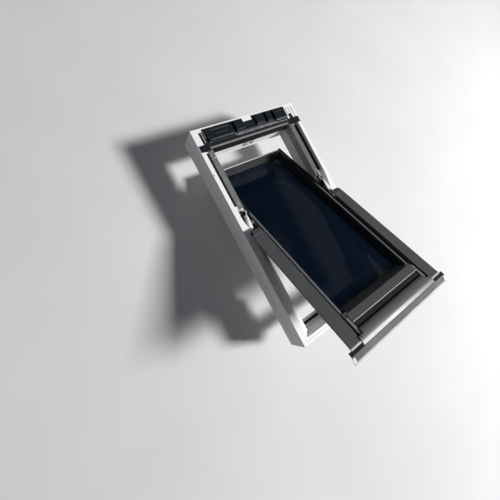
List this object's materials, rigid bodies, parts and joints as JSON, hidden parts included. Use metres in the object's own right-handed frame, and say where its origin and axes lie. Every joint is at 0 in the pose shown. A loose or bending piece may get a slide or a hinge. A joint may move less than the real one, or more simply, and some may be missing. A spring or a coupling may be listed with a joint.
{
  "type": "roof window",
  "caption": "Centre-pivot roof window: white stepped frame, half-open glazed sash with grey metal covers, pivot hinges, control bar and roof brackets.",
  "frame": {"origin": "centre of the roof brackets' hole pattern, at the underside of the bracket flanges", "axes": "+X across the window to the right seen from outside, +Y up the roof slope, +Z out of the roof"},
  "size_m": [0.56, 1.052, 0.5239],
  "materials": {
    "white_coating": "white lacquer",
    "seal_strip": "matt",
    "black_rubber": "matt",
    "zinc_steel": "zinc plated",
    "grey_cladding": "matt lacquered aluminium",
    "trim_aluminium": "satin",
    "black_plastic": "moulded",
    "pale_plastic": "moulded",
    "glass": "clear, coated",
    "spacer_metal": "matt",
    "bar_metal": "anodised"
  },
  "bodies": {
    "frame": {"frame_left": "white_coating", "frame_right": "white_coating", "frame_top": "white_coating", "frame_bottom": "white_coating", "upper_seal_left": "seal_strip", "upper_seal_right": "seal_strip", "upper_seal_top": "seal_strip", "frame_gasket": "black_rubber", "hinge_plate_left": "zinc_steel", "hinge_plate_right": "zinc_steel", "pivot_pins": "zinc_steel", "top_casing": "black_plastic", "strike_plate": "zinc_steel", "roof_brackets_top": "zinc_steel", "roof_brackets_bottom": "zinc_steel", "frame_screws": "zinc_steel", "hinge_screws": "zinc_steel", "bracket_screws": "zinc_steel", "casing_clip_left": "black_plastic", "casing_clip_right": "black_plastic", "brake_spring_left": "zinc_steel", "brake_spring_right": "zinc_steel", "brake_cover_left": "zinc_steel", "brake_cover_right": "zinc_steel"},
    "sash": {"sash_left": "white_coating", "sash_right": "white_coating", "sash_top": "white_coating", "sash_bottom": "white_coating", "glass_outer": "glass", "glass_spacer": "spacer_metal", "glass_inner": "glass", "glazing_gasket": "black_rubber", "glazing_trim_left": "trim_aluminium", "glazing_trim_right": "trim_aluminium", "glazing_trim_top": "grey_cladding", "glazing_trim_bottom": "grey_cladding", "sash_seals": "black_rubber", "side_cover_left": "grey_cladding", "side_cover_right": "grey_cladding", "cover_end_left": "pale_plastic", "cover_end_right": "pale_plastic", "cover_cap_left": "black_plastic", "cover_cap_right": "black_plastic", "cover_screws": "zinc_steel", "bottom_plate": "grey_cladding", "bottom_carrier": "black_plastic", "bottom_skirt": "grey_cladding", "bottom_cover": "grey_cladding", "sash_hinge_left": "zinc_steel", "sash_hinge_right": "zinc_steel", "lock_case": "black_plastic", "bar_lug_left": "black_plastic", "bar_lug_right": "black_plastic"},
    "control_bar": {"control_bar": "bar_metal", "bar_arm_left": "bar_metal", "bar_arm_right": "bar_metal", "vent_flap": "bar_metal"},
    "lock_claw": {"lock_claw": "zinc_steel"}
  },
  "joints": [
    {"name": "sash_pivot", "type": "hinge", "parent": "frame", "child": "sash", "pos_m": [0, 0.055, 0.084], "axis": [-1, 0, 0], "range_deg": [-26.5, 133.5]},
    {"name": "bar_pivot", "type": "hinge", "parent": "sash", "child": "control_bar", "pos_m": [0, 0.29586, -0.14336], "axis": [1, 0, 0], "range_deg": [-25, 0]},
    {"name": "claw_slide", "type": "slide", "parent": "sash", "child": "lock_claw", "axis": [0, 0.8949, -0.4462], "range_m": [0, 0.014]}
  ],
  "couplings": [
    {"joint": "claw_slide", "follows": "bar_pivot", "m_per_rad": -0.032086}
  ]
}
